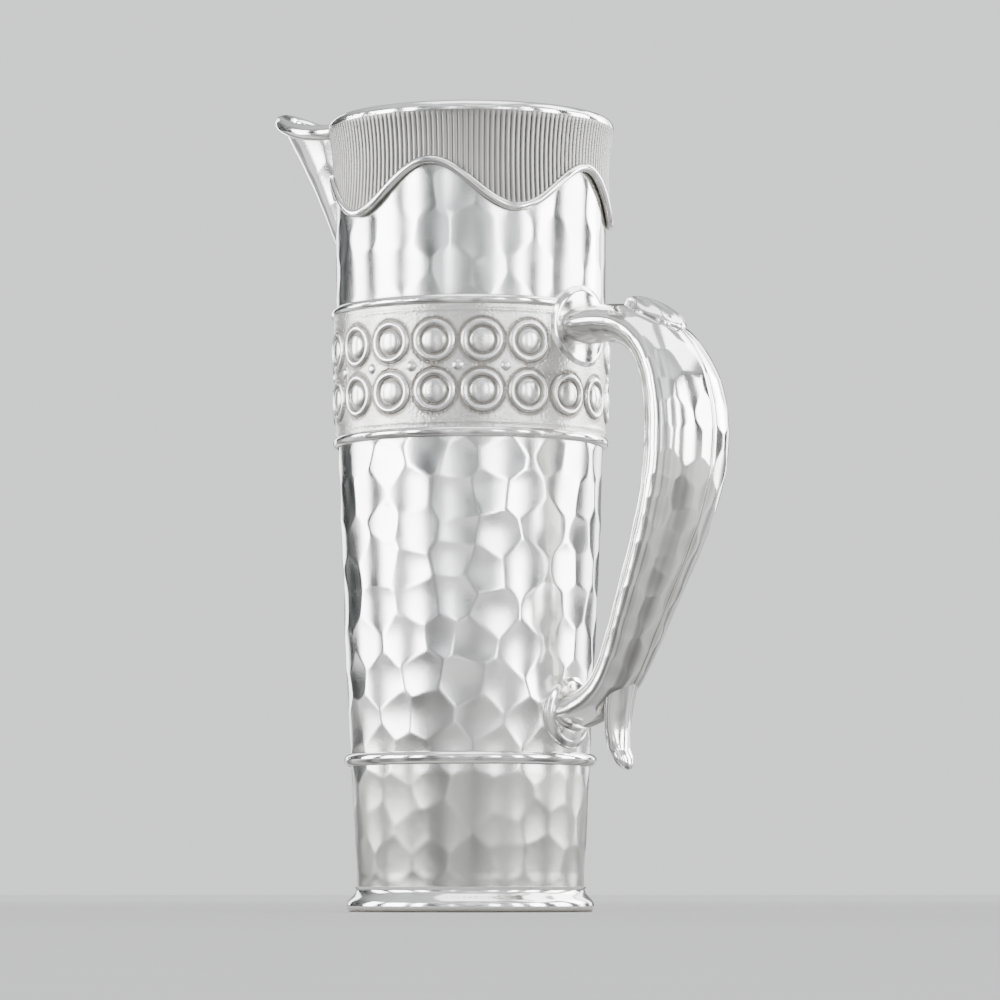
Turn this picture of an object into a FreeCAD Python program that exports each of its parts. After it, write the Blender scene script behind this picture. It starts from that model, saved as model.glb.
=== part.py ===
import FreeCAD, Part
import math
import os

os.makedirs("parts", exist_ok=True)

# Millimetres. Z is up from the table, the handle stands towards +X, the spout towards -X.
CLEAR = 40.0                  # how far cutting solids run past the work

# Body
RIM_TOP = 190.0               # crown of the rim wire
WALL_TOP = 187.6              # upper edge of the raised wall, under the rim wire
WALL_FOOT = 6.0               # lower edge of the wall, on the foot ring
SHOULDER = 165.0              # the wall is upright above this height
RADIUS_FOOT = 27.0
RADIUS_TOP = 32.6
WALL = 1.0                    # gauge of the body sheet
PROFILE_STEPS = 12

# Foot and floor
FOOT_INNER = 23.5
FOOT_PROFILE = ((27.6, 6.0), (27.3, 4.9), (28.2, 3.6), (29.3, 2.2), (29.4, 1.0), (28.8, 0.0))
FLOOR_GAUGE = 1.2
FLOOR_RISE = 3.0              # the floor is domed up in the middle

# Applied wires and girdle
BASE_WIRE_Z = 36.0
BASE_WIRE = 1.5               # radius of the round wire before it is soldered on
GIRDLE_LOW = 112.0
GIRDLE_HIGH = 143.0
GIRDLE_WIRE = 1.2
STRAP_GAUGE = 0.7
ROUNDEL_COUNT = 18
ROUNDEL_ROWS = (121.6, 133.4)
ROUNDEL_LIFT = 1.5            # crown of a roundel above the wall
ROUNDEL_SPHERE = 9.0

# Rim
RIM_WIRE = 1.9
COLLAR_LOW = 165.0            # lowest point of the collar's swags
COLLAR_SWEEP = 11.0           # how far its lower edge climbs between two swags
COLLAR_SWAGS = 5              # the edge peaks over the handle and hangs lowest at the spout
COLLAR_EDGE = 1.9             # how far the collar stands out at the top
COLLAR_HOLLOW = 0.7
COLLAR_FOOT = 1.5
COLLAR_WIRE = 1.0
COLLAR_WIRE_OUT = 0.8         # its centre line stands this far off the wall
COLLAR_TURN = 172.0           # its wire runs this far round each way from the handle
COLLAR_STEPS = 90

# Spout
LIP_RISE = 6.0                # the nose of the lip above the rim
LIP_START = 28.0              # the lip begins to climb this far from the axis
SPOUT_NOSE = 53.0             # the nose stands this far from the axis
SPOUT_STATIONS = (            # height, nose beyond the wall, half length, half width
    (134.0, -3.4, 3.6, 3.4),
    (142.0, -1.3, 5.8, 5.4),
    (150.0, 1.4, 8.8, 8.0),
    (160.0, 4.9, 12.2, 10.8),
    (170.0, 9.0, 16.0, 13.6),
    (179.0, 13.4, 19.6, 15.8),
    (188.0, 18.6, 23.6, 17.8),
    (200.0, 26.4, 29.4, 19.8),
)
SPOUT_GAUGE = 1.0
LIP_TURN = 90.0               # the lip wire runs this far round each way from the nose
LIP_STEPS = 40
LIP_CLIMB_STEPS = 8
LIP_SETTLE = 12               # rounds of finding the lip's height and reach together

# Handle: centre line and half sizes, radial and across
HANDLE_STATIONS = (
    (26.0, 137.4, 4.5, 8.6),
    (36.5, 138.4, 4.5, 9.0),
    (46.5, 137.4, 5.0, 10.2),
    (54.4, 132.8, 6.0, 11.9),
    (59.6, 124.6, 7.0, 13.4),
    (61.6, 113.6, 7.7, 14.2),
    (60.6, 101.4, 7.5, 13.7),
    (57.2, 89.6, 6.9, 12.5),
    (52.9, 78.8, 6.2, 11.1),
    (48.6, 68.6, 5.6, 9.8),
    (44.4, 58.9, 5.1, 8.6),
    (38.9, 51.0, 4.7, 7.8),
    (31.5, 47.2, 4.5, 7.4),
    (21.0, 46.4, 4.5, 7.4),
)
TAIL_STATIONS = (
    (45.0, 60.0, 3.2, 5.6),
    (43.1, 52.6, 3.3, 5.4),
    (42.2, 45.4, 3.0, 4.8),
    (42.7, 38.6, 2.4, 3.8),
    (45.4, 33.2, 1.3, 2.4),
)
HANDLE_GAUGE = 1.0
PATCH_GAUGE = 1.2
UPPER_PATCH = (138.0, 10.0, 12.0)     # height, half height, half width
LOWER_PATCH = (46.8, 8.6, 9.6)
THUMB_AT = (53.2, 139.4)
THUMB_HALF = (8.6, 6.6, 3.2)
THUMB_TILT = 28.0


def vec(x, y, z):
    return FreeCAD.Vector(x, y, z)


def turned(face):
    return face.revolve(vec(0, 0, 0), vec(0, 0, 1), 360)


def radius_at(z):
    share = min(max((z - WALL_FOOT) / (SHOULDER - WALL_FOOT), 0.0), 1.0)
    return RADIUS_FOOT + (RADIUS_TOP - RADIUS_FOOT) * math.sin(share * math.pi / 2)


def spline(points):
    curve = Part.BSplineCurve()
    curve.interpolate(points)
    return curve.toShape()


def core(offset):
    """The solid filled by the body, its wall moved out by offset."""
    rise = SHOULDER - WALL_FOOT
    heights = [WALL_FOOT + rise * i / PROFILE_STEPS for i in range(PROFILE_STEPS + 1)]
    side = spline([vec(radius_at(z) + offset, 0, z) for z in heights])
    top_out = vec(RADIUS_TOP + offset, 0, WALL_TOP)
    upright = Part.makeLine(vec(RADIUS_TOP + offset, 0, SHOULDER), top_out)
    top = Part.makeLine(top_out, vec(0, 0, WALL_TOP))
    axis = Part.makeLine(vec(0, 0, WALL_TOP), vec(0, 0, WALL_FOOT))
    base = Part.makeLine(vec(0, 0, WALL_FOOT), vec(RADIUS_FOOT + offset, 0, WALL_FOOT))
    wire = Part.Wire([side, upright, top, axis, base])
    return turned(Part.Face(wire))


def ellipse_wire(centre, long_arm, short_arm):
    """Closed ellipse through centre + each arm; the longer arm comes first."""
    ellipse = Part.Ellipse(centre + long_arm, centre + short_arm, centre)
    return Part.Wire(ellipse.toShape())


def ring(z, wire_radius):
    """Round wire laid on the wall at height z and cut to its shape."""
    circle = Part.makeCircle(wire_radius, vec(radius_at(z), 0, z), vec(0, 1, 0))
    return turned(Part.Face(Part.Wire(circle))).cut(core(0))


def tube(points, radius):
    """Round wire bent along a smooth line through points."""
    path = spline(points)
    start = path.valueAt(path.FirstParameter)
    ahead = path.tangentAt(path.FirstParameter)
    section = Part.Wire(Part.makeCircle(radius, start, ahead))
    return Part.Wire(path).makePipeShell([section], True, False)


def lip_height(x):
    """Height of the upper edge of the wall and spout at a distance x from the axis."""
    share = max((-x - LIP_START) / (SPOUT_NOSE - LIP_START), 0.0)
    return WALL_TOP + LIP_RISE * share * share


def below_lip():
    """Everything under the upper edge of the wall and spout."""
    reach = SPOUT_NOSE + CLEAR
    near = vec(-LIP_START, -CLEAR, WALL_TOP)
    stride = (SPOUT_NOSE - LIP_START) / LIP_CLIMB_STEPS
    places = [-LIP_START - stride * i for i in range(LIP_CLIMB_STEPS + 1)]
    climb = [vec(x, -CLEAR, lip_height(x)) for x in places]
    tip = climb[-1]
    corners = [tip, vec(-reach, -CLEAR, tip.z), vec(-reach, -CLEAR, 0),
               vec(reach, -CLEAR, 0), vec(reach, -CLEAR, WALL_TOP), near]
    wire = Part.Wire([spline(climb)] + Part.makePolygon(corners).Edges)
    return Part.Face(wire).extrude(vec(0, 2 * CLEAR, 0))


def spout_solid(inset):
    """The horn of the spout, its surface moved in by inset."""
    wires = []
    for z, nose, half_long, half_wide in SPOUT_STATIONS:
        tip = radius_at(z) + nose
        centre = vec(half_long - tip, 0, z)
        wires.append(ellipse_wire(centre, vec(-(half_long - inset), 0, 0),
                                  vec(0, half_wide - inset, 0)))
    return Part.makeLoft(wires, True, False)


def bent_horn(stations, inset):
    """Oval horn along a bent centre line, its surface moved in by inset."""
    path = spline([vec(x, 0, z) for x, z, radial, across in stations])
    wires = []
    for x, z, radial, across in stations:
        centre = vec(x, 0, z)
        ahead = path.tangentAt(path.Curve.parameter(centre))
        outward = ahead.cross(vec(0, 1, 0))
        wires.append(ellipse_wire(centre, vec(0, across - inset, 0), outward * (radial - inset)))
    return Part.makeLoft(wires, True, False)


def handle_solid(inset):
    return bent_horn(HANDLE_STATIONS, inset)


def patch_plug(patch):
    """Elliptical plug along X that outlines a reinforcing patch."""
    z, half_high, half_wide = patch
    outline = ellipse_wire(vec(0, 0, z), vec(0, half_wide, 0), vec(0, 0, half_high))
    return Part.Face(outline).extrude(vec(RADIUS_TOP + CLEAR, 0, 0))


def make_patch(patch):
    return core(PATCH_GAUGE).cut(core(0)).common(patch_plug(patch))


def make_foot_ring():
    outer = spline([vec(r, 0, z) for r, z in FOOT_PROFILE])
    (top_r, top_z), (low_r, low_z) = FOOT_PROFILE[0], FOOT_PROFILE[-1]
    edges = Part.makePolygon([vec(low_r, 0, low_z), vec(FOOT_INNER, 0, low_z),
                              vec(FOOT_INNER, 0, top_z), vec(top_r, 0, top_z)]).Edges
    return turned(Part.Face(Part.Wire([outer] + edges)))


def make_bottom_plate():
    rim = RADIUS_FOOT - WALL
    radius = (rim * rim + FLOOR_RISE * FLOOR_RISE) / (2 * FLOOR_RISE)
    centre = WALL_FOOT + FLOOR_RISE - radius
    low = Part.makeSphere(radius, vec(0, 0, centre))
    high = Part.makeSphere(radius, vec(0, 0, centre + FLOOR_GAUGE))
    return high.cut(low).common(core(-WALL))


def make_body_shell():
    return core(0).cut(core(-WALL)).cut(spout_solid(SPOUT_GAUGE))


def make_base_wire():
    return ring(BASE_WIRE_Z, BASE_WIRE)


def make_girdle_wire(z):
    return ring(z, GIRDLE_WIRE).cut(patch_plug(UPPER_PATCH))


def slice_between(low, high):
    height = high - low
    return Part.makeCylinder(RADIUS_TOP + CLEAR, height, vec(0, 0, low))


def roundel(z, turn):
    reach = radius_at(z) + ROUNDEL_LIFT - ROUNDEL_SPHERE
    angle = math.radians(turn)
    return Part.makeSphere(ROUNDEL_SPHERE, vec(reach * math.cos(angle), reach * math.sin(angle), z))


def make_girdle_strap():
    step = 360.0 / ROUNDEL_COUNT
    strap = core(STRAP_GAUGE)
    turns = [step * (i + 0.5) for i in range(ROUNDEL_COUNT)]
    bosses = [roundel(z, turn) for z in ROUNDEL_ROWS for turn in turns]
    solid = strap.fuse(bosses).cut(core(0)).common(slice_between(GIRDLE_LOW, GIRDLE_HIGH))
    wires = [ring(GIRDLE_LOW, GIRDLE_WIRE), ring(GIRDLE_HIGH, GIRDLE_WIRE)]
    return solid.cut(wires[0]).cut(wires[1]).cut(patch_plug(UPPER_PATCH))


def collar_point(angle, radius):
    """Point of the collar's lower edge, which hangs in even swags."""
    climb = COLLAR_SWEEP * (1 + math.cos(COLLAR_SWAGS * angle)) / 2
    return vec(radius * math.cos(angle), radius * math.sin(angle), COLLAR_LOW + climb)


def above_collar_edge():
    """Everything over the collar's lower edge."""
    edges = []
    for radius in (RADIUS_TOP - COLLAR_EDGE, RADIUS_TOP + 2 * COLLAR_EDGE):
        turns = [2 * math.pi * i / COLLAR_STEPS for i in range(COLLAR_STEPS)]
        curve = Part.BSplineCurve()
        curve.interpolate(Points=[collar_point(turn, radius) for turn in turns], PeriodicFlag=True)
        edges.append(curve.toShape())
    return Part.makeRuledSurface(edges[0], edges[1]).extrude(vec(0, 0, CLEAR))


def make_rim_collar():
    middle = (COLLAR_LOW + WALL_TOP) / 2
    curve = Part.Arc(vec(RADIUS_TOP + COLLAR_FOOT, 0, COLLAR_LOW),
                     vec(RADIUS_TOP + COLLAR_HOLLOW, 0, middle),
                     vec(RADIUS_TOP + COLLAR_EDGE, 0, WALL_TOP)).toShape()
    corners = [vec(RADIUS_TOP + COLLAR_EDGE, 0, WALL_TOP), vec(RADIUS_TOP, 0, WALL_TOP),
               vec(RADIUS_TOP, 0, COLLAR_LOW), vec(RADIUS_TOP + COLLAR_FOOT, 0, COLLAR_LOW)]
    wire = Part.Wire([curve] + Part.makePolygon(corners).Edges)
    return turned(Part.Face(wire)).common(above_collar_edge()).cut(spout_solid(0))


def make_collar_wire(collar):
    turns = [math.radians(COLLAR_TURN * (2 * i / COLLAR_STEPS - 1)) for i in range(COLLAR_STEPS + 1)]
    points = [collar_point(turn, RADIUS_TOP + COLLAR_WIRE_OUT) for turn in turns]
    return tube(points, COLLAR_WIRE).cut(core(0)).cut(collar).cut(spout_solid(0))


def make_rim_wire():
    circle = Part.makeCircle(RIM_WIRE, vec(RADIUS_TOP, 0, RIM_TOP - RIM_WIRE), vec(0, 1, 0))
    whole = turned(Part.Face(Part.Wire(circle)))
    return whole.cut(below_lip()).cut(spout_solid(SPOUT_GAUGE / 2))


def make_spout():
    horn = spout_solid(0).cut(spout_solid(SPOUT_GAUGE))
    return horn.cut(core(0)).common(below_lip())


def lip_point(angle, inset):
    """Point of the spout's upper edge, measured round the ellipse from the nose."""
    stations = SPOUT_STATIONS
    z = WALL_TOP
    for repeat in range(LIP_SETTLE):
        upper = next(i for i, row in enumerate(stations) if row[0] > z)
        low, high = stations[upper - 1], stations[upper]
        share = (z - low[0]) / (high[0] - low[0])
        nose, half_long, half_wide = [low[k] + (high[k] - low[k]) * share for k in (1, 2, 3)]
        x = half_long - radius_at(z) - nose - (half_long - inset) * math.cos(angle)
        z = lip_height(x)
    return vec(x, (half_wide - inset) * math.sin(angle), z + RIM_TOP - RIM_WIRE - WALL_TOP)


def make_lip_wire(rim_wire):
    turns = [math.radians(LIP_TURN * (2 * i / LIP_STEPS - 1)) for i in range(LIP_STEPS + 1)]
    whole = tube([lip_point(turn, SPOUT_GAUGE / 2) for turn in turns], RIM_WIRE)
    return whole.cut(below_lip()).cut(rim_wire)


def make_handle_half():
    """The half of the hollow handle on the -Y side of its seam."""
    hollow = handle_solid(0).cut(handle_solid(HANDLE_GAUGE)).cut(core(PATCH_GAUGE))
    width = 2 * CLEAR
    return hollow.common(Part.makeBox(width + CLEAR, width, RIM_TOP, vec(-CLEAR, -width, 0)))


def make_thumb_rest():
    x, z = THUMB_AT
    half_long, half_wide, half_high = THUMB_HALF
    scale = FreeCAD.Matrix()
    scale.scale(half_long, half_wide, half_high)
    pad = Part.makeSphere(1.0).transformGeometry(scale)
    pad.rotate(vec(0, 0, 0), vec(0, 1, 0), THUMB_TILT)
    pad.translate(vec(x, 0, z))
    return pad.cut(handle_solid(0)).cut(core(PATCH_GAUGE))


def make_handle_tail():
    return bent_horn(TAIL_STATIONS, 0).cut(handle_solid(0))


def largest(shape):
    """A cut can leave slivers; the piece is its largest solid."""
    return max(shape.Solids, key=lambda solid: solid.Volume)


collar = largest(make_rim_collar())
rim_wire = largest(make_rim_wire())
handle_half = largest(make_handle_half())
nodes = {
    "foot_ring": make_foot_ring(),
    "bottom_plate": make_bottom_plate(),
    "body_shell": make_body_shell(),
    "base_wire": make_base_wire(),
    "girdle_strap": make_girdle_strap(),
    "girdle_wire_lower": make_girdle_wire(GIRDLE_LOW),
    "girdle_wire_upper": make_girdle_wire(GIRDLE_HIGH),
    "rim_collar": collar,
    "collar_wire": make_collar_wire(collar),
    "rim_wire": rim_wire,
    "spout": make_spout(),
    "spout_lip_wire": make_lip_wire(rim_wire),
    "handle_half_left": handle_half.mirror(vec(0, 0, 0), vec(0, 1, 0)),
    "handle_half_right": handle_half,
    "handle_patch_upper": make_patch(UPPER_PATCH),
    "handle_patch_lower": make_patch(LOWER_PATCH),
    "thumb_rest": make_thumb_rest(),
    "handle_tail": make_handle_tail(),
}
for name, shape in nodes.items():
    piece = largest(shape)
    box = piece.BoundBox
    print(name, len(shape.Solids), piece.isValid(), round(piece.Volume, 1),
          [round(v, 2) for v in (box.XMin, box.XMax, box.YMin, box.YMax, box.ZMin, box.ZMax)])
    piece.exportStep("parts/" + name + ".step")
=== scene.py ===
import bmesh
import bpy
import math
import random
import numpy as np
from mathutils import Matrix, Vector, kdtree


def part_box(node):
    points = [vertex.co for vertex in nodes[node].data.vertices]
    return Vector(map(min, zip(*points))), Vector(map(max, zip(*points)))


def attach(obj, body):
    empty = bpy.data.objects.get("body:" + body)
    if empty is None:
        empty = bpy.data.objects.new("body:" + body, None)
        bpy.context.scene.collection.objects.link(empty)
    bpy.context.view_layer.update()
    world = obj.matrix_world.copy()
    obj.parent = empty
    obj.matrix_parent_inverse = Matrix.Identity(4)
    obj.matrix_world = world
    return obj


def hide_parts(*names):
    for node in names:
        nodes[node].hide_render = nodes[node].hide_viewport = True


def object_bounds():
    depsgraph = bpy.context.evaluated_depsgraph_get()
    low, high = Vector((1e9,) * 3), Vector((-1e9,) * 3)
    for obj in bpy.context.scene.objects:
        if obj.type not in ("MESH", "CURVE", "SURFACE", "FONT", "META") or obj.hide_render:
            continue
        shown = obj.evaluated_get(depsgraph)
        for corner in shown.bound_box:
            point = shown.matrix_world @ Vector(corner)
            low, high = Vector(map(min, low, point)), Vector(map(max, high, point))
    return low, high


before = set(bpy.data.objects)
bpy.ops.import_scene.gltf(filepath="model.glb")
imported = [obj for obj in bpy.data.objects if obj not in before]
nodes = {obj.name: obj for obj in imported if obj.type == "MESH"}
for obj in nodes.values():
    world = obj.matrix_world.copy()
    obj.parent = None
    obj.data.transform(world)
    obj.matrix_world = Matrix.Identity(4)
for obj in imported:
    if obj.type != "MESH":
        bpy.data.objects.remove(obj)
bpy.context.view_layer.update()
cad_low, cad_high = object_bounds()
MM = 0.001
rng = random.Random(11)


# ---------------------------------------------------------------- measures from the frame
wall_low, wall_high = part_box("body_shell")
strap_low, strap_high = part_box("girdle_strap")
upper_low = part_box("handle_patch_upper")[0]
base_low, base_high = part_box("base_wire")
collar_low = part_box("rim_collar")[0]
Z0, Z1 = wall_low.z, wall_high.z
R_TOP = wall_high.y
R_FOOT = 27.0 * MM
SHOULDER = 165.0 * MM         # the wall is upright above this height
SHEET = 1.0 * MM
RIM_GAUGE = 1.9 * MM          # radius of the rim and lip wires
LIP_LIFT = 0.5 * MM           # the lip wire's centre line above the sheet's edge
LAP = 0.05 * MM               # how far one sheet laps into the next


def wall_radius(z):
    share = np.clip((np.asarray(z, float) - Z0) / (SHOULDER - Z0), 0, 1)
    return R_FOOT + (R_TOP - R_FOOT) * np.sin(share * math.pi / 2)


# ---------------------------------------------------------------- mesh helpers
def link(obj):
    bpy.context.scene.collection.objects.link(obj)
    return obj


def finish_piece(name, verts, faces, material, replaces, merge=2e-6, patina_and_shade=None,
                 lining=None):
    """Mesh object with its material; the darkening for each vertex runs from 0 to 1, 1 the
    darkest: oxide on the girdle, a dark seam on the handle, and painted shade on body, handle and
    collar.

    lining is a second material and the range of faces that take it."""
    mesh = bpy.data.meshes.new(name)
    mesh.from_pydata([tuple(v) for v in verts], [], [tuple(f) for f in faces])
    mesh.validate()
    mesh.materials.append(material)
    if lining:
        mesh.materials.append(lining[0])
        for index in range(*lining[1]):
            mesh.polygons[index].material_index = 1
    if patina_and_shade is not None:
        layer = mesh.attributes.new("patina_and_shade", "FLOAT", "POINT")
        layer.data.foreach_set("value", np.asarray(patina_and_shade, np.float32).ravel())
    obj = link(bpy.data.objects.new(name, mesh))
    bm = bmesh.new()
    bm.from_mesh(mesh)
    bmesh.ops.remove_doubles(bm, verts=bm.verts, dist=merge)
    bmesh.ops.dissolve_degenerate(bm, edges=bm.edges, dist=1e-7)
    bmesh.ops.recalc_face_normals(bm, faces=bm.faces)
    bm.to_mesh(mesh)
    bm.free()
    mesh.polygons.foreach_set("use_smooth", [True] * len(mesh.polygons))
    mesh.set_sharp_from_angle(angle=math.radians(48))
    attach(obj, "root")
    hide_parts(*replaces)


def grid_faces(rows, cols, start=0, wrap=False, flip=False):
    """Quads of a rows x cols grid of vertices numbered row by row."""
    faces = []
    last = cols if wrap else cols - 1
    for i in range(rows - 1):
        for j in range(last):
            a = start + i * cols + j
            b = start + i * cols + (j + 1) % cols
            quad = (a, b, b + cols, a + cols)
            faces.append(quad[::-1] if flip else quad)
    return faces


def tube_faces(count, around):
    """Faces of a tube of rings, with a cap on each end."""
    caps = [tuple(range(around)), tuple(range((count - 1) * around, count * around))]
    return grid_faces(count, around, wrap=True) + caps


def disc_faces(rings, around):
    """Faces of rings that spread from a middle point, with a back on the last ring."""
    back = tuple(range(rings * around, (rings + 1) * around))
    return grid_faces(rings + 1, around, wrap=True) + [back]


def sheet_faces(rows, cols, closed_sides):
    """Faces of an outer and an inner grid and of the edges between them.

    closed_sides says for each row whether its two ends are bridged to the next row's."""
    n = rows * cols
    faces = grid_faces(rows, cols) + grid_faces(rows, cols, n, flip=True)
    for i in (0, rows - 1):
        for j in range(cols - 1):
            a = i * cols + j
            faces.append((a, a + n, a + n + 1, a + 1))
    for i in range(rows - 1):
        if closed_sides[i]:
            for j in (0, cols - 1):
                a = i * cols + j
                faces.append((a, a + cols, a + cols + n, a + n))
    return faces


def around_axis(radius, angle, height):
    """Points at a radius and angle about the body's axis."""
    return np.stack([radius * np.cos(angle), radius * np.sin(angle), height], 2)


def grid_normals(points):
    """Unit normals of a (rows, cols, 3) grid."""
    du = np.roll(points, -1, 1) - np.roll(points, 1, 1)
    du[:, 0] = points[:, 1] - points[:, 0]
    du[:, -1] = points[:, -1] - points[:, -2]
    dv = np.gradient(points, axis=0)
    normal = np.cross(du, dv)
    length = np.linalg.norm(normal, axis=2, keepdims=True)
    return normal / np.maximum(length, 1e-12)


def hammer_marks(points, centres, reach, crest=0.06):
    """0 on the crests between hammer marks, falling to -1 in the middle of each mark."""
    tree = kdtree.KDTree(len(centres))
    for i, c in enumerate(centres):
        tree.insert(Vector(c[:3]), i)
    tree.balance()
    flat = points.reshape(-1, 3)
    found = [[(n[1], n[2]) for n in tree.find_n(p, 3)] for p in flat.tolist()]
    found = np.array(found)
    marks = np.array(centres)[found[..., 0].astype(int)]
    d = (found[..., 1] / (reach * marks[..., 3])) ** 2 + marks[..., 4]
    low = d.min(1)
    low = low - crest * np.log(np.exp(-(d - low[:, None]) / crest).sum(1))
    return np.minimum(low - 1.0, 0.0).reshape(points.shape[:-1])


def ring_centres(z_low, z_high, spacing, jitter, radius_of):
    """Jittered hammer blows round a surface of revolution: x, y, z, size, depth."""
    centres = []
    z, row = z_low, 0
    while z <= z_high:
        radius = float(radius_of(z))
        count = max(6, round(2 * math.pi * radius / spacing))
        for i in range(count):
            angle = 2 * math.pi * (i + 0.5 * (row % 2) + jitter * rng.uniform(-1, 1)) / count
            height = z + spacing * jitter * rng.uniform(-1, 1)
            r = float(radius_of(height))
            centres.append((r * math.cos(angle), r * math.sin(angle), height,
                            rng.uniform(0.9, 1.14), rng.uniform(-0.16, 0.12)))
        z += spacing * 0.84
        row += 1
    return centres


# ---------------------------------------------------------------- materials
def node_of(tree, kind, **values):
    node = tree.nodes.new(kind)
    for key, value in values.items():
        if key in node.inputs:
            node.inputs[key].default_value = value
        else:
            setattr(node, key, value)
    return node


def map_range(tree, source, from_range, to_range, smooth=False):
    """Output of a Map Range node fed by source."""
    kind = "SMOOTHSTEP" if smooth else "LINEAR"
    node = node_of(tree, "ShaderNodeMapRange", interpolation_type=kind)
    node.inputs["From Min"].default_value, node.inputs["From Max"].default_value = from_range
    node.inputs["To Min"].default_value, node.inputs["To Max"].default_value = to_range
    tree.links.new(source, node.inputs["Value"])
    return node.outputs[0]


def math_of(tree, operation, *terms):
    """Output of a Math node; each term is a socket or a number."""
    node = node_of(tree, "ShaderNodeMath", operation=operation)
    for slot, term in zip(node.inputs, terms):
        if isinstance(term, (int, float)):
            slot.default_value = term
        else:
            tree.links.new(term, slot)
    return node.outputs[0]


def noise(tree, where, scale, detail, roughness=0.5):
    """Noise at the point that where gives."""
    node = node_of(tree, "ShaderNodeTexNoise", Scale=scale, Detail=detail, Roughness=roughness)
    tree.links.new(where, node.inputs["Vector"])
    return node.outputs[0]


def silver(name, colour, tarnish_and_shade, rough, rough_span, crevice_shade, scratch, grain=0.0, cloud=0.35,
           matting=0.0, metallic=1.0):
    """Silver: bright metal, tarnished clouds, painted shade in crevices and between parts, uneven
    polish, fine scratches.

    matting is the depth of the punched ground, which shows where the girdle's oxide is dark."""
    material = bpy.data.materials.new(name)
    material.use_nodes = True
    tree = material.node_tree
    tree.nodes.clear()
    link_ = tree.links.new
    out = tree.nodes.new("ShaderNodeOutputMaterial")
    bsdf = node_of(tree, "ShaderNodeBsdfPrincipled", Metallic=metallic)
    link_(bsdf.outputs[0], out.inputs[0])
    where = tree.nodes.new("ShaderNodeTexCoord").outputs["Object"]

    patch = map_range(tree, noise(tree, where, 38.0, 4.0, 0.55), (0.46, 0.74), (0.0, cloud))
    # Occlusion darkens the colour towards the second colour in crevices and between parts: painted
    # shade.
    ao = node_of(tree, "ShaderNodeAmbientOcclusion", Distance=2.2 * MM, samples=4)
    dark = map_range(tree, ao.outputs["AO"], (0.35, 0.92), (crevice_shade, 0.0))
    # The per-vertex darkening is oxide on the girdle's ground and a dark handle seam, and painted
    # shade on body, handle and collar.
    darkening = node_of(tree, "ShaderNodeAttribute", attribute_name="patina_and_shade").outputs["Fac"]
    both = math_of(tree, "MAXIMUM", patch, math_of(tree, "MAXIMUM", dark, darkening))
    tint = node_of(tree, "ShaderNodeMix", data_type="RGBA")
    tint.inputs[6].default_value = (*colour, 1)
    tint.inputs[7].default_value = (*tarnish_and_shade, 1)
    link_(both, tint.inputs[0])
    link_(tint.outputs[2], bsdf.inputs["Base Color"])

    spread = map_range(tree, noise(tree, where, 120.0, 6.0, 0.62), (0.3, 0.75),
                       (rough, rough + rough_span))
    link_(math_of(tree, "MULTIPLY_ADD", both, 0.20, spread), bsdf.inputs["Roughness"])

    stretch = node_of(tree, "ShaderNodeMapping")
    stretch.inputs["Scale"].default_value = (1.0, 1.0, 14.0)
    link_(where, stretch.inputs["Vector"])
    blend = node_of(tree, "ShaderNodeMix", data_type="FLOAT")
    blend.inputs[0].default_value = 0.5 if grain else 0.15
    link_(noise(tree, stretch.outputs[0], 420.0, 3.0, 0.7), blend.inputs[2])
    link_(noise(tree, where, 1900.0, 2.0), blend.inputs[3])
    relief = blend.outputs[0]
    if matting:
        punch = node_of(tree, "ShaderNodeTexVoronoi", Scale=1150.0, Randomness=0.75)
        link_(where, punch.inputs["Vector"])
        pits = map_range(tree, punch.outputs["Distance"], (0.0, 0.55), (0.0, matting))
        relief = math_of(tree, "ADD", math_of(tree, "MULTIPLY", pits, darkening), relief)
    bump = node_of(tree, "ShaderNodeBump", Strength=scratch + grain, Distance=0.04 * MM)
    link_(relief, bump.inputs["Height"])
    link_(bump.outputs[0], bsdf.inputs["Normal"])
    return material


# The second colour serves real tarnished clouds and painted shade alike; the number after the
# roughness span sets the painted shade in crevices.
hammered = silver("silver_hammered", (0.94, 0.945, 0.94), (0.34, 0.33, 0.305),
                  0.06, 0.09, 0.85, 0.25, cloud=0.22)
polished = silver("silver_polished", (0.95, 0.95, 0.94), (0.30, 0.285, 0.25),
                  0.05, 0.08, 0.95, 0.2, cloud=0.16)
satin = silver("silver_satin", (0.88, 0.88, 0.87), (0.24, 0.23, 0.21),
               0.17, 0.12, 0.9, 0.3, grain=0.3, matting=5.0)
# The collar's silver is painted dark: painted shade of the concave collar.
painted_shade = silver("silver_oxidised", (0.36, 0.36, 0.355), (0.10, 0.095, 0.09),
                  0.24, 0.12, 0.9, 0.3, grain=0.45)
inner = silver("silver_inner", (0.88, 0.88, 0.87), (0.50, 0.47, 0.42),
               0.22, 0.14, 0.7, 0.35, cloud=0.2, metallic=0.8)


# ---------------------------------------------------------------- spout geometry
# height, how far the nose stands off the wall, half length, half width
SPOUT = np.array([
    (134.0, -3.4, 3.6, 3.4), (142.0, -1.3, 5.8, 5.4), (150.0, 1.4, 8.8, 8.0),
    (160.0, 4.9, 12.2, 10.8), (170.0, 9.0, 16.0, 13.6), (179.0, 13.4, 19.6, 15.8),
    (188.0, 18.6, 23.6, 17.8), (200.0, 26.4, 29.4, 19.8)]) * MM
LIP_START, LIP_NOSE, LIP_RISE = 28.0 * MM, 53.0 * MM, 6.0 * MM
LIP_ROUNDS = 14               # rounds of finding the lip's height and reach together
HALVINGS = 40                 # of the angle at which the horn meets the wall
SPOUT_FULL = 195.0 * MM       # the horn's section is taken no higher than this


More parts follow.
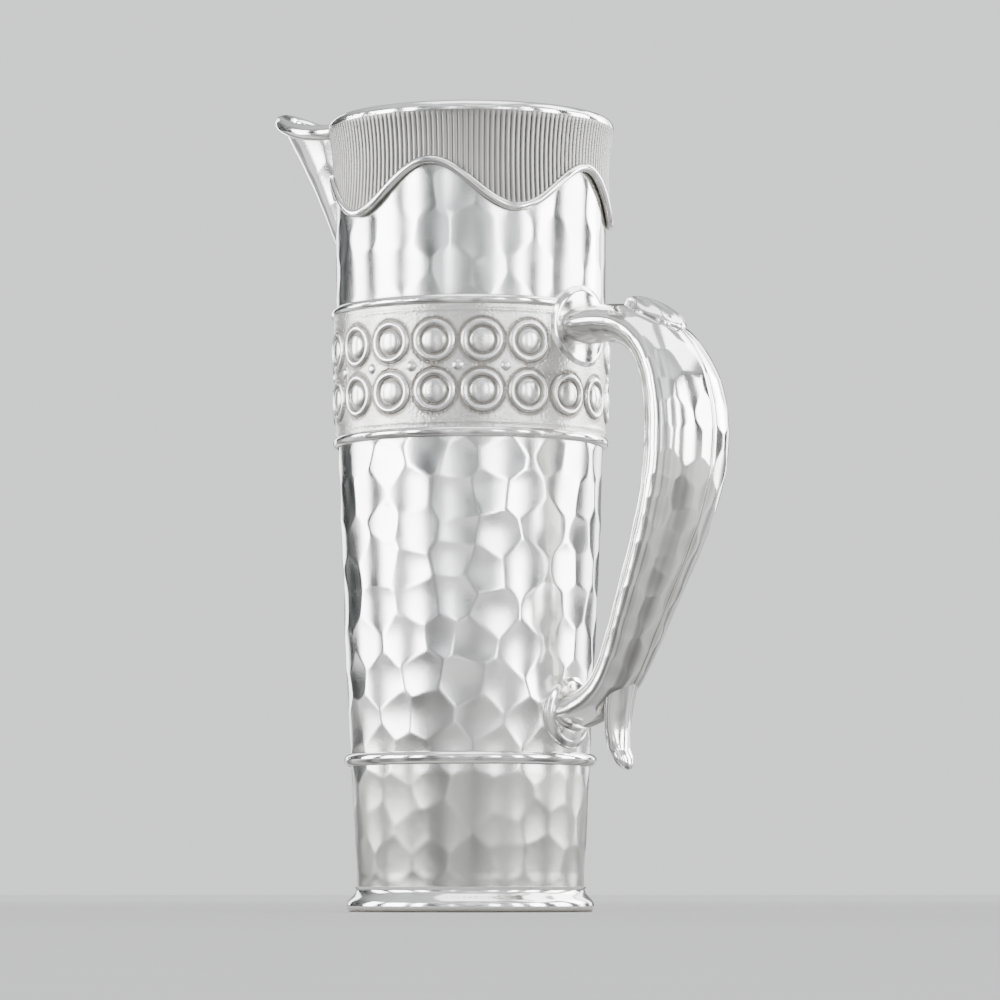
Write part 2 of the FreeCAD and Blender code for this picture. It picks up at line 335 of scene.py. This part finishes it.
def natural_cubic(x, y):
    """Second derivatives of the natural cubic spline through x, y."""
    n = len(x)
    a = np.zeros((n, n))
    b = np.zeros(n)
    a[0, 0] = a[-1, -1] = 1
    for i in range(1, n - 1):
        h0, h1 = x[i] - x[i - 1], x[i + 1] - x[i]
        a[i, i - 1], a[i, i], a[i, i + 1] = h0, 2 * (h0 + h1), h1
        b[i] = 6 * ((y[i + 1] - y[i]) / h1 - (y[i] - y[i - 1]) / h0)
    return np.linalg.solve(a, b)


def spline_at(x, y, m, t):
    i = np.clip(np.searchsorted(x, t) - 1, 0, len(x) - 2)
    h = x[i + 1] - x[i]
    u, v = (x[i + 1] - t) / h, (t - x[i]) / h
    return u * y[i] + v * y[i + 1] + ((u ** 3 - u) * m[i] + (v ** 3 - v) * m[i + 1]) * h * h / 6


SPOUT_M = [natural_cubic(SPOUT[:, 0], SPOUT[:, k]) for k in (1, 2, 3)]
SPOUT_Z = np.linspace(SPOUT[0, 0], SPOUT[-1, 0], 1321)
SPOUT_TABLE = [spline_at(SPOUT[:, 0], SPOUT[:, k + 1], SPOUT_M[k], SPOUT_Z) for k in range(3)]


def horn(z, inset):
    """Centre x and half axes of the spout's oval at height z."""
    nose, half_long, half_wide = [np.interp(z, SPOUT_Z, column) for column in SPOUT_TABLE]
    centre = half_long - wall_radius(z) - nose
    return centre, half_long - inset, half_wide - inset


def horn_point(z, turn, inset):
    centre, a, b = horn(z, inset)
    return centre - a * np.cos(turn), b * np.sin(turn)


def horn_turn(z, inset, radius):
    """How far round from the nose the oval runs before it meets the wall; 0 if it doesn't."""
    z = np.asarray(z, float)
    low, high = np.zeros_like(z), np.full_like(z, math.pi)
    for _ in range(HALVINGS):
        mid = (low + high) / 2
        outside = np.hypot(*horn_point(z, mid, inset)) > radius
        low = np.where(outside, mid, low)
        high = np.where(outside, high, mid)
    met = np.hypot(*horn_point(z, np.zeros_like(z), inset)) > radius
    return np.where(met, low, 0.0)


def opening_half_angle(z, inset, radius):
    turn = horn_turn(z, inset, radius)
    x, y = horn_point(z, turn, inset)
    return np.where((turn > 0) & (z > SPOUT[1, 0]), np.arctan2(np.abs(y), -x), 0.0)


def lip_height(x):
    share = np.maximum((-x - LIP_START) / (LIP_NOSE - LIP_START), 0.0)
    return Z1 + LIP_RISE * share * share


# ---------------------------------------------------------------- body
def hammer_depth(z):
    """Depth of the marks: bold between girdle and base wire, light elsewhere."""
    zs = [Z0, base_low.z - 2 * MM, base_high.z + 3 * MM, strap_low.z - 3 * MM, strap_high.z, Z1]
    ds = [0.14, 0.20, 0.34, 0.34, 0.17, 0.13]
    return np.interp(z, zs, ds) * MM


def make_body():
    rows, cols = 366, 420
    zs = np.linspace(Z0, Z1, rows)
    half = opening_half_angle(zs, SHEET, wall_radius(zs))
    angle = (math.pi - half)[:, None] * np.linspace(-1, 1, cols)[None, :]
    radius = wall_radius(zs)[:, None]
    height = np.repeat(zs[:, None], cols, 1)
    blows = ring_centres(Z0 - 4 * MM, Z1 + 4 * MM, 10.4 * MM, 0.24, wall_radius)
    marks = hammer_marks(around_axis(radius, angle, height), blows, 6.4 * MM)
    drop = marks * hammer_depth(height) * np.clip((height - Z0) / (3 * MM), 0, 1)
    outer = around_axis(radius + drop, angle, height)
    inside = around_axis(radius - SHEET + 0.25 * drop, angle, height)
    verts = np.concatenate([outer.reshape(-1, 3), inside.reshape(-1, 3)])
    sheet = 2 * (rows - 1) * (cols - 1)
    # The lower body is painted darker, most of all below the base wire, and the hammer-mark
    # hollows darker still: painted shade.
    painted_shade_amount = 0.52 * np.clip((base_low.z - height) / (2.5 * MM), 0, 1)
    painted_shade_amount = np.maximum(painted_shade_amount, 0.34 * np.clip((62 * MM - height) / (26 * MM), 0, 1))
    hollow = 0.15 * np.clip(-marks, 0, 1) ** 2 * np.clip((height - base_high.z) / (4 * MM), 0, 1)
    darkening = np.clip(painted_shade_amount * (0.85 - 0.22 * marks) + hollow, 0, 1)
    finish_piece("body", verts, sheet_faces(rows, cols, half[1:] > 0), hammered,
                 ("body_shell",),
                 patina_and_shade=np.concatenate([darkening.ravel(), np.zeros(rows * cols)]),
                 lining=(inner, (sheet // 2, sheet)))


def spout_blows(start):
    """Jittered hammer blows on the spout: x, y, z, size, depth."""
    blows = []
    z, row = start, 0
    while z < Z1 + 8 * MM:
        level = min(z, SPOUT_FULL)
        turn = horn_turn(level, 0.0, float(wall_radius(z)) - LAP)
        _, a, b = horn(level, 0.0)
        count = max(1, round(turn * (a + b) / (8.6 * MM)))
        for i in range(-1, count + 1):
            spot = -turn + 2 * turn * (i + 0.5 + 0.5 * (row % 2) + rng.uniform(-0.2, 0.2)) / count
            x, y = horn_point(level, spot, 0.0)
            blows.append((x, y, z + rng.uniform(-1.4, 1.4) * MM,
                          rng.uniform(0.9, 1.12), rng.uniform(-0.15, 0.1)))
        z += 7.4 * MM
        row += 1
    return blows


def make_spout():
    rows, cols = 110, 150
    start = SPOUT[1, 0]
    while horn_turn(start, 0.0, wall_radius(start) - LAP) == 0.0:
        start += LAP
    share = np.linspace(-1, 1, cols)
    climb = np.linspace(0, 1, rows)[:, None] ** 1.15
    sheets = []
    for inset in (0.0, SHEET):
        top = np.full(cols, Z1)
        for _ in range(LIP_ROUNDS):
            turn = share * horn_turn(top, inset, wall_radius(top) - LAP)
            top = lip_height(horn_point(top, turn, inset)[0])
        z = start + (top - start)[None, :] * climb
        reach = horn_turn(z, inset, wall_radius(z) - LAP)
        x, y = horn_point(z, share[None, :] * reach, inset)
        x = np.where(reach > 0, x, -wall_radius(z) + 0.3 * MM)
        sheets.append(np.stack([x, y, z], 2))
    outer, inside = sheets
    normal = grid_normals(outer)
    if normal[rows // 2, cols // 2, 0] > 0:
        normal = -normal
    marks = hammer_marks(outer, spout_blows(start), 5.4 * MM)
    outer = outer + normal * (marks * 0.11 * MM)[..., None]
    verts = np.concatenate([outer.reshape(-1, 3), inside.reshape(-1, 3)])
    sheet = 2 * (rows - 1) * (cols - 1)
    finish_piece("spout_sheet", verts, sheet_faces(rows, cols, [True] * (rows - 1)), hammered,
                 ("spout",), lining=(inner, (sheet // 2, sheet)))


def make_lip_wire():
    """Round wire along the lip, its ends rounded off inside the rim wire."""
    count, around = 220, 40
    share = np.sin(np.linspace(-math.pi / 2, math.pi / 2, count))
    top = np.full(count, Z1)
    for _ in range(LIP_ROUNDS):
        turn = share * horn_turn(top, SHEET / 2, R_TOP - 0.6 * MM)
        top = lip_height(horn_point(top, turn, SHEET / 2)[0])
    x, y = horn_point(top, turn, SHEET / 2)
    path = np.stack([x, y, top + LIP_LIFT], 1)
    ahead = np.gradient(path, axis=0)
    run = np.concatenate([[0], np.cumsum(np.linalg.norm(np.diff(path, axis=0), axis=1))])
    ahead /= np.linalg.norm(ahead, axis=1, keepdims=True)
    side = np.cross(ahead, (0, 0, 1))
    side /= np.linalg.norm(side, axis=1, keepdims=True)
    upward = np.cross(side, ahead)
    end = np.clip(1 - np.minimum(run, run[-1] - run) / RIM_GAUGE, 0, 1)
    radius = RIM_GAUGE * np.sqrt(np.maximum(1 - end ** 2, 0.0004))[:, None, None]
    angle = np.linspace(0, 2 * math.pi, around, endpoint=False)[None, :, None]
    points = path[:, None] + radius * (np.cos(angle) * side[:, None]
                                       + np.sin(angle) * upward[:, None])
    finish_piece("lip_wire", points.reshape(-1, 3), tube_faces(count, around), polished,
                 ("spout_lip_wire",), merge=1e-7)


# ---------------------------------------------------------------- girdle
def turn_across(angle, turn):
    """Signed angle from turn to angle, between -pi and pi."""
    return (angle - turn + math.pi) % (2 * math.pi) - math.pi


def under_patch(turn, radius, reach):
    """True where the handle's upper patch would cover an ornament at this angle."""
    return abs(turn_across(turn, 0.0)) * radius < reach


def crown(d, radius):
    """Height of a dome with crown 1 at a distance d from its middle."""
    return np.sqrt(np.clip(1 - (d / radius) ** 2, 0, 1))


def groove_at(d, radius, width):
    return np.exp(-((d - radius) / width) ** 2)


def make_strap():
    """Chased strap: ringed domes in two rows, a small bud between each four of them."""
    count, rows_z = 18, (121.6 * MM, 133.4 * MM)
    rows, cols = 150, 1080
    low, high = strap_low.z, strap_high.z
    zs = np.linspace(low, high, rows)
    angle = np.linspace(0, 2 * math.pi, cols, endpoint=False)[None, :] * np.ones((rows, 1))
    height = zs[:, None] * np.ones((1, cols))
    radius = wall_radius(height)
    step = 2 * math.pi / count
    edge = np.minimum(height - low, high - height)
    lift = (0.52 + 0.12 * groove_at(edge / MM, 1.4, 0.45)) * MM
    patina_and_shade = np.full_like(height, 0.42)
    for z in rows_z:
        middle = float(wall_radius(z))
        for i in range(count):
            turn = (i + 0.5) * step
            if under_patch(turn, middle, 13.5 * MM) and z + 5 * MM > upper_low.z:
                continue
            d = np.hypot(turn_across(angle, turn) * middle, height - z) / MM
            dome = crown(d, 2.9)
            bead = crown(d - 4.25, 0.72)
            dish = 0.20 * groove_at(d, 3.2, 0.35) + 0.16 * groove_at(d, 5.25, 0.35)
            lift += (np.maximum(0.82 * dome, 0.62 * bead) - dish) * MM
            shine = np.maximum(dome, bead)
            groove = groove_at(d, 3.2, 0.5) + groove_at(d, 5.25, 0.6)
            patina_and_shade = np.clip(patina_and_shade + 0.9 * groove, 0, 1) * (1 - 0.92 * np.clip(shine * 1.6, 0, 1))
    z = sum(rows_z) / 2
    middle = float(wall_radius(z))
    for i in range(count):
        if under_patch(i * step, middle, 14 * MM):
            continue
        bud = crown(np.hypot(turn_across(angle, i * step) * middle, height - z) / MM, 1.15)
        lift += 0.6 * MM * bud
        patina_and_shade *= 1 - 0.9 * np.clip(bud * 1.6, 0, 1)
    outer = around_axis(radius + np.minimum(lift, 1.42 * MM), angle, height)
    inside = around_axis(radius - 0.1 * MM, angle, height)[[0, -1]]
    verts = np.concatenate([inside[0], outer.reshape(-1, 3), inside[1]])
    faces = grid_faces(rows + 2, cols, wrap=True)
    last = (rows + 1) * cols
    faces += [(last + j, last + (j + 1) % cols, (j + 1) % cols, j) for j in range(cols)]
    patina_and_shade = np.concatenate([np.zeros(cols), patina_and_shade.ravel(), np.zeros(cols)])
    finish_piece("girdle", verts, faces, satin, ("girdle_strap",),
                 merge=1e-7, patina_and_shade=patina_and_shade)


# ---------------------------------------------------------------- collar
REEDS = 168                   # upright reeds round the whole collar
EDGE_ROUNDS = 6               # rounds of fitting the collar's ends to the spout


def make_collar():
    """Concave collar with upright reeding, its lower edge hung in five swags."""
    rows, cols = 56, 1500
    base, sweep, swags = collar_low.z, 11.0 * MM, 5

    def stand_off(z):
        """How far the hollow profile stands off the wall."""
        sag = (z - base) / (Z1 - base)
        return (0.70 + 0.80 * np.clip(1 - 2 * sag, 0, 1) ** 2
                + 1.20 * np.clip(2 * sag - 1, 0, 1) ** 2) * MM

    zs = np.linspace(base, Z1, 60)
    gap = opening_half_angle(zs, 0.0, R_TOP + stand_off(zs))
    around = np.linspace(-1, 1, cols)[None, :] * np.ones((rows, 1))
    share = np.linspace(0, 1, rows)[:, None] * np.ones((1, cols))
    angle = around * (math.pi - gap[-1])
    for _ in range(EDGE_ROUNDS):
        edge = base + sweep * (1 + np.cos(swags * angle)) / 2
        height = edge + (Z1 - edge) * share
        angle = around * (math.pi - np.interp(height, zs, gap) - 0.005)
    out = stand_off(height)
    fade = np.clip((height - edge) / (1.6 * MM), 0, 1) * np.clip((Z1 - height) / (1.4 * MM), 0, 1)
    reed = np.abs(np.sin(angle * REEDS / 2))
    out = out - 0.34 * MM * (1 - reed) ** 1.4 * fade
    outer = around_axis(R_TOP + out, angle, height)
    inside = around_axis(R_TOP - LAP, angle, height)
    verts = np.concatenate([outer.reshape(-1, 3), inside.reshape(-1, 3)])
    # The grooves between the reeds and the middle of the band are painted darker: painted shade.
    painted_shade_amount = (1 - reed) * 0.9 + 0.25
    darkening = np.clip(painted_shade_amount * (0.35 + 0.65 * fade), 0, 1).ravel()
    finish_piece("collar", verts, sheet_faces(rows, cols, [True] * (rows - 1)), painted_shade,
                 ("rim_collar",), merge=1e-7,
                 patina_and_shade=np.concatenate([darkening, np.zeros(rows * cols)]))


# ---------------------------------------------------------------- handle
# stations along the centre line: x, z, half size in the line's plane, half size across it
HANDLE = np.array([
    (26.0, 137.4, 4.5, 8.6), (36.5, 138.4, 4.5, 9.0), (46.5, 137.4, 5.0, 10.2),
    (54.4, 132.8, 6.0, 11.9), (59.6, 124.6, 7.0, 13.4), (61.6, 113.6, 7.7, 14.2),
    (60.6, 101.4, 7.5, 13.7), (57.2, 89.6, 6.9, 12.5), (52.9, 78.8, 6.2, 11.1),
    (48.6, 68.6, 5.6, 9.8), (44.4, 58.9, 5.1, 8.6), (38.9, 51.0, 4.7, 7.8),
    (31.5, 47.2, 4.5, 7.4), (21.0, 46.4, 4.5, 7.4)]) * MM
TAIL = np.array([
    (45.0, 60.0, 3.2, 5.6), (43.1, 52.6, 3.3, 5.4), (42.2, 45.4, 3.0, 4.8),
    (42.7, 38.6, 2.4, 3.8), (45.4, 33.2, 1.3, 2.4)]) * MM
THUMB_AT = (53.2 * MM, 139.4 * MM)
THUMB_HALF = (8.5 * MM, 6.5 * MM, 3.1 * MM)
THUMB_TILT = math.radians(28.0)
BLOW_STEP = 17                # rings of the handle's mesh from one row of blows to the next


def horn_rings(stations, count):
    """Centres and half sizes, and the outward direction, along a bent centre line."""
    step = np.hypot(np.diff(stations[:, 0]), np.diff(stations[:, 1]))
    t = np.concatenate([[0], np.cumsum(step)])
    ms = [natural_cubic(t, stations[:, k]) for k in range(4)]
    where = np.linspace(0, t[-1], count)
    rows = np.array([[spline_at(t, stations[:, k], ms[k], w) for k in range(4)] for w in where])
    ahead = np.gradient(rows[:, :2], axis=0)
    ahead /= np.linalg.norm(ahead, axis=1, keepdims=True)
    return rows, np.stack([-ahead[:, 1], ahead[:, 0]], 1)


def horn_surface(rows, outward, turn):
    """Points and normals of the oval sections, turn 0 being the outward side."""
    radial, across = rows[:, 2:3], rows[:, 3:4]
    x = rows[:, 0:1] + outward[:, 0:1] * radial * np.cos(turn)
    z = rows[:, 1:2] + outward[:, 1:2] * radial * np.cos(turn)
    y = across * np.sin(turn)
    normal = np.stack([outward[:, 0:1] * np.cos(turn) / radial, np.sin(turn) / across,
                       outward[:, 1:2] * np.cos(turn) / radial], 2)
    normal /= np.linalg.norm(normal, axis=2, keepdims=True)
    return np.stack([x, y, z], 2), normal


def make_handle():
    """Two raised halves that meet on the middle plane, with a fine seam between them."""
    count, around = 420, 84
    rows, outward = horn_rings(HANDLE, count)
    if outward[count // 2, 0] < 0:
        outward = -outward
    blows = []
    for i in range(0, count, BLOW_STEP):
        size = (rows[i, 2] + rows[i, 3]) / 2
        ring = max(4, round(2 * math.pi * size / (7.6 * MM)))
        for k in range(ring):
            turn = 2 * math.pi * (k + rng.uniform(-0.22, 0.22) + 0.5 * (i // BLOW_STEP % 2)) / ring
            row = min(max(i + rng.randint(-4, 4), 0), count - 1)
            radial, across = rows[row, 2] * math.cos(turn), rows[row, 3] * math.sin(turn)
            blows.append((rows[row, 0] + outward[row, 0] * radial, across,
                          rows[row, 1] + outward[row, 1] * radial,
                          rng.uniform(0.9, 1.12), rng.uniform(-0.15, 0.1)))
    for side, name in ((1, "left"), (-1, "right")):
        turn = side * np.linspace(0, math.pi, around)[None, :] * np.ones((count, 1))
        points, normal = horn_surface(rows, outward, turn)
        marks = hammer_marks(points, blows, 4.7 * MM)
        seam = np.exp(-(points[..., 1] / (0.32 * MM)) ** 2)
        points = points + normal * ((marks * 0.17 - 0.02 - 0.14 * seam) * MM)[..., None]
        points[..., 1] = np.maximum(side * points[..., 1], 0.0) * side
        faces = grid_faces(count, around)
        faces += [(i * around, (i + 1) * around, (i + 2) * around - 1, (i + 1) * around - 1)
                  for i in range(count - 1)]
        faces += [tuple(range(around)), tuple(range((count - 1) * around, count * around))]
        # The hammer-mark hollows are painted darker, more so low on the handle: painted shade; the
        # seam is a dark joint.
        low_down = np.clip((0.112 - points[..., 2]) / 0.05, 0, 1)
        patina_and_shade = np.clip((0.10 + 0.24 * low_down) * marks ** 2 + 0.7 * seam, 0, 1)
        finish_piece("handle_" + name, points.reshape(-1, 3), faces, polished,
                     ("handle_half_" + name,), merge=1e-7, patina_and_shade=patina_and_shade)


def make_tail():
    """Tapered terminal with a rounded ridge on each face and a small bead at its tip."""
    count, around = 120, 96
    rows, outward = horn_rings(TAIL, count)
    if outward[0, 0] < 0:
        outward = -outward
    turn = np.linspace(0, 2 * math.pi, around, endpoint=False)[None, :] * np.ones((count, 1))
    along = np.linspace(0, 1, count)[:, None]
    taper = np.sqrt(np.clip(1 - ((along - 0.90) / 0.10).clip(0, 1) ** 2, 0.0009, 1))
    waist = 1 - 0.10 * np.exp(-((along - 0.83) / 0.05) ** 2)
    rows = rows.copy()
    rows[:, 2:4] *= taper * waist
    points, normal = horn_surface(rows, outward, turn)
    flute = 0.5 + 0.5 * np.cos(4 * turn)
    fade = np.sin(np.clip((along - 0.2) / 0.65, 0, 1) * math.pi)
    points = points - normal * ((1 - flute) * fade * 0.38 * MM)[..., None]
    finish_piece("tail", points.reshape(-1, 3), tube_faces(count, around), polished,
                 ("handle_tail",), merge=1e-7)


def make_thumb():
    """Shell-shaped pad: flutes fan out from its heel to a scalloped edge."""
    rings, around = 60, 216
    half_long, half_wide, half_high = THUMB_HALF
    verts = []
    for i in range(rings + 1):
        share = i / rings
        for k in range(around):
            turn = 2 * math.pi * k / around
            along, across = share * math.cos(turn), share * math.sin(turn)
            fan = math.atan2(across, along + 1.25)
            flute = 0.5 + 0.5 * math.cos(fan * 17.0)
            grow = min(max((along + 1.0) / 0.5, 0.0), 1.0)
            scallop = 1 - 0.035 * (1 - flute) * share ** 4 * grow
            up = math.sqrt(max(1 - share * share, 0.0)) * (1 - 0.17 * (1 - flute) * grow)
            if i == rings:
                up = -0.35
            x, z = along * half_long * scallop, up * half_high
            verts.append((THUMB_AT[0] + x * math.cos(THUMB_TILT) + z * math.sin(THUMB_TILT),
                          across * half_wide * scallop,
                          THUMB_AT[1] - x * math.sin(THUMB_TILT) + z * math.cos(THUMB_TILT)))
    finish_piece("thumb_shell", verts, disc_faces(rings, around), polished,
                 ("thumb_rest",))


# ---------------------------------------------------------------- patches
def make_patch(name, node):
    """Domed reinforcing patch with a thin, rubbed-down edge."""
    low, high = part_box(node)
    rings, around = 34, 140
    middle_z, half_z = (low.z + high.z) / 2, (high.z - low.z) / 2
    half_y = (high.y - low.y) / 2
    verts = []
    for i in range(rings + 1):
        share = i / rings
        squeeze = 0.985 if i == rings else 1.0
        lift = 1.16 * MM * (1 - share ** 4) ** 0.6 + 0.10 * MM * (share < 1)
        lift += 0.14 * MM * math.exp(-((share - 0.84) / 0.05) ** 2)
        if i == rings:
            lift = -0.3 * MM
        for k in range(around):
            turn = 2 * math.pi * k / around
            y = half_y * share * math.cos(turn) * squeeze
            z = middle_z + half_z * share * math.sin(turn) * squeeze
            r = float(wall_radius(z)) + min(lift, 1.18 * MM)
            verts.append((math.sqrt(r * r - y * y), y, z))
    finish_piece(name, verts, disc_faces(rings, around), polished, (node,))


make_body()
make_spout()
make_lip_wire()
make_strap()
make_collar()
make_handle()
make_tail()
make_thumb()
make_patch("patch_upper", "handle_patch_upper")
make_patch("patch_lower", "handle_patch_lower")

for name in ("foot_ring", "base_wire", "girdle_wire_lower", "girdle_wire_upper", "collar_wire",
             "rim_wire"):
    nodes[name].data.materials[0] = polished
nodes["bottom_plate"].data.materials[0] = inner


# ---------------------------------------------------------------- floor, light and camera
STAGE_SIDES = 96              # corners of the round floor and of the ring of cards
FLOOR_RADIUS = 6.0
FLAGS_FROM, FLAGS_TO = 0.045, 4.0
PALE = (0.93, 0.94, 0.95, 1)


def circle(radius, height):
    """Corners of a level circle about the body's axis."""
    turns = [2 * math.pi * k / STAGE_SIDES for k in range(STAGE_SIDES)]
    return [(radius * math.cos(turn), radius * math.sin(turn), height) for turn in turns]


def distance_out(tree, where):
    """Distance of the point that where gives from the origin."""
    node = node_of(tree, "ShaderNodeVectorMath", operation="LENGTH")
    tree.links.new(where, node.inputs[0])
    return node.outputs["Value"]


def make_floor():
    mesh = bpy.data.meshes.new("floor")
    mesh.from_pydata(circle(FLOOR_RADIUS, 0), [], [tuple(range(STAGE_SIDES))])
    floor = link(bpy.data.objects.new("floor", mesh))
    material = bpy.data.materials.new("floor_paper")
    material.use_nodes = True
    tree = material.node_tree
    bsdf = tree.nodes["Principled BSDF"]
    bsdf.inputs["Roughness"].default_value = 0.8
    bsdf.inputs["Specular IOR Level"].default_value = 0.0
    where = tree.nodes.new("ShaderNodeTexCoord").outputs["Object"]
    # The floor is painted darker near the pitcher and paler further out: painted shade.
    paler = map_range(tree, distance_out(tree, where), (0.25, 1.6), (0.0, 0.9))
    tint = node_of(tree, "ShaderNodeMix", data_type="RGBA")
    tint.inputs[6].default_value = (0.62, 0.62, 0.615, 1)
    tint.inputs[7].default_value = (0.93, 0.93, 0.925, 1)
    tree.links.new(math_of(tree, "MULTIPLY_ADD", noise(tree, where, 60.0, 3.0), 0.12, paler),
                   tint.inputs[0])
    tree.links.new(tint.outputs[2], bsdf.inputs["Base Color"])
    mesh.materials.append(material)


def make_flags():
    """Ring of soft dark and light cards on the floor, for the reflections in the metal alone."""
    mesh = bpy.data.meshes.new("flags")
    mesh.from_pydata(circle(FLAGS_FROM, MM) + circle(FLAGS_TO, MM), [],
                     grid_faces(2, STAGE_SIDES, wrap=True))
    ring = link(bpy.data.objects.new("flags", mesh))
    ring.visible_camera = ring.visible_diffuse = ring.visible_shadow = False
    material = bpy.data.materials.new("flag_cards")
    material.use_nodes = True
    tree = material.node_tree
    tree.nodes.clear()
    out = tree.nodes.new("ShaderNodeOutputMaterial")
    glow = tree.nodes.new("ShaderNodeEmission")
    where = tree.nodes.new("ShaderNodeTexCoord").outputs["Object"]
    around = node_of(tree, "ShaderNodeVectorMath", operation="NORMALIZE")
    tree.links.new(where, around.inputs[0])
    both = node_of(tree, "ShaderNodeMix", data_type="FLOAT")
    both.inputs[0].default_value = 0.35
    tree.links.new(noise(tree, around.outputs[0], 2.6, 1.5, 0.45), both.inputs[2])
    tree.links.new(noise(tree, where, 8.0, 3.0), both.inputs[3])
    shade = map_range(tree, both.outputs[0], (0.40, 0.58), (0.32, 1.25), smooth=True)
    near = map_range(tree, distance_out(tree, where), (0.05, 0.42), (0.45, 1.0))
    tree.links.new(math_of(tree, "MULTIPLY", shade, near), glow.inputs["Strength"])
    tree.links.new(glow.outputs[0], out.inputs[0])
    mesh.materials.append(material)


VIEW_AZIMUTH = math.radians(35.0)
VIEW_ELEVATION = math.radians(-4.8)
VIEW_DISTANCE = 1.12
AIM = Vector((0, 0, 0.1))     # the lamps look at this point
WINDOW_UP, WINDOW_OUT, WINDOW_HIGH = 11, 0.9, 0.52


def direction(azimuth, elevation):
    return Vector((math.sin(azimuth) * math.cos(elevation),
                   -math.cos(azimuth) * math.cos(elevation), math.sin(elevation)))


def softbox(name, azimuth, elevation, distance, width, height, watts, on_floor=False):
    """Soft light at an angle to the viewing direction, aimed at the middle of the body."""
    lamp = bpy.data.lights.new(name, "AREA")
    lamp.shape = "RECTANGLE"
    lamp.size, lamp.size_y = width, height
    lamp.energy = watts
    obj = link(bpy.data.objects.new(name, lamp))
    obj.visible_camera = False
    obj.visible_diffuse = on_floor
    back = direction(VIEW_AZIMUTH + math.radians(azimuth), math.radians(elevation))
    obj.location = AIM + back * distance
    obj.rotation_mode = "QUATERNION"
    obj.rotation_quaternion = back.to_track_quat("Z", "Y")


def mix_shader(tree, share, first, second):
    """Mix Shader node that goes from first to second as share goes from 0 to 1."""
    node = tree.nodes.new("ShaderNodeMixShader")
    for slot, source in zip(node.inputs, (share, first.outputs[0], second.outputs[0])):
        tree.links.new(source, slot)
    return node


def make_world():
    """Even pale surroundings; polished metal sees softer, darker flags between the lights."""
    world = bpy.data.worlds.new("studio")
    bpy.context.scene.world = world
    world.use_nodes = True
    tree = world.node_tree
    tree.nodes.clear()
    link_ = tree.links.new
    out = tree.nodes.new("ShaderNodeOutputWorld")
    seen = node_of(tree, "ShaderNodeBackground", Strength=1.25, Color=PALE)
    fill = node_of(tree, "ShaderNodeBackground", Strength=1.15, Color=PALE)
    where = tree.nodes.new("ShaderNodeTexCoord").outputs["Generated"]

    toward = node_of(tree, "ShaderNodeVectorMath", operation="DOT_PRODUCT")
    toward.inputs[1].default_value = direction(VIEW_AZIMUTH, 0.0)
    link_(where, toward.inputs[0])
    ramp = tree.nodes.new("ShaderNodeValToRGB")
    ramp.color_ramp.interpolation = "B_SPLINE"
    stops = ((0.0, 0.36), (0.05, 0.16), (0.25, 0.11), (0.45, 0.13), (0.65, 0.20), (0.82, 0.44),
             (0.93, 0.84), (1.0, 1.05))
    while len(ramp.color_ramp.elements) < len(stops):
        ramp.color_ramp.elements.new(0.5)
    for element, (place, value) in zip(ramp.color_ramp.elements, stops):
        element.position = place
        element.color = (value * 0.97, value * 0.99, value * 1.02, 1)
    link_(math_of(tree, "MULTIPLY_ADD", toward.outputs["Value"], 0.5, 0.5), ramp.inputs[0])
    room = node_of(tree, "ShaderNodeBackground")
    link_(ramp.outputs[0], room.inputs["Color"])
    link_(map_range(tree, noise(tree, where, 5.5, 3.0), (0.38, 0.62), (0.22, 1.9)),
          room.inputs["Strength"])

    height = tree.nodes.new("ShaderNodeSeparateXYZ")
    link_(where, height.inputs[0])
    ceiling = node_of(tree, "ShaderNodeBackground", Color=(0.97, 0.98, 1.0, 1))
    link_(map_range(tree, height.outputs["Z"], (0.25, 0.80), (0.0, 0.75), smooth=True),
          ceiling.inputs["Strength"])
    reflected = tree.nodes.new("ShaderNodeAddShader")
    link_(room.outputs[0], reflected.inputs[0])
    link_(ceiling.outputs[0], reflected.inputs[1])

    path = tree.nodes.new("ShaderNodeLightPath")
    pale = mix_shader(tree, path.outputs["Is Camera Ray"], fill, seen)
    whole = mix_shader(tree, path.outputs["Is Glossy Ray"], pale, reflected)
    link_(whole.outputs[0], out.inputs[0])


def make_camera():
    data = bpy.data.cameras.new("camera")
    data.lens = 168.0
    data.sensor_width = 36.0
    data.clip_start, data.clip_end = 0.02, 30.0
    camera = link(bpy.data.objects.new("camera", data))
    side = Vector((math.cos(VIEW_AZIMUTH), math.sin(VIEW_AZIMUTH), 0))
    target = Vector((0, 0, (cad_low.z + cad_high.z) / 2)) + side * 0.007
    back = direction(VIEW_AZIMUTH, VIEW_ELEVATION)
    camera.location = target + back * VIEW_DISTANCE
    camera.rotation_mode = "QUATERNION"
    camera.rotation_quaternion = back.to_track_quat("Z", "Y")
    bpy.context.scene.camera = camera


make_floor()
make_flags()
make_world()
for turn, span, watts in ((-50, 10, 3.0), (-76, 24, 7.2), (-108, 18, 4.6),
                          (45, 7, 2.2), (66, 14, 4.6), (97, 20, 5.6)):
    width = 2 * WINDOW_OUT * math.tan(math.radians(span / 2))
    softbox("window_%d" % (turn + 180), turn, WINDOW_UP, WINDOW_OUT, width, WINDOW_HIGH, watts)
softbox("front", 23, 9, 0.95, 0.14, 0.42, 1.5)
softbox("front_low", -17, 6, 0.95, 0.05, 0.30, 0.25)
softbox("side_high", 131, 24, 0.9, 0.38, 0.56, 5.2)
softbox("top", 0, 84, 1.0, 0.7, 0.7, 4.2, on_floor=True)
softbox("edge_right", 127, 9, 0.9, 0.16, 0.62, 2.2)
softbox("high_right", 98, 50, 0.9, 0.50, 0.42, 3.4)
softbox("back_left", -158, 14, 0.95, 0.16, 0.6, 1.3)
softbox("back_right", 152, 14, 0.95, 0.16, 0.6, 1.3)
make_camera()

bpy.context.view_layer.update()
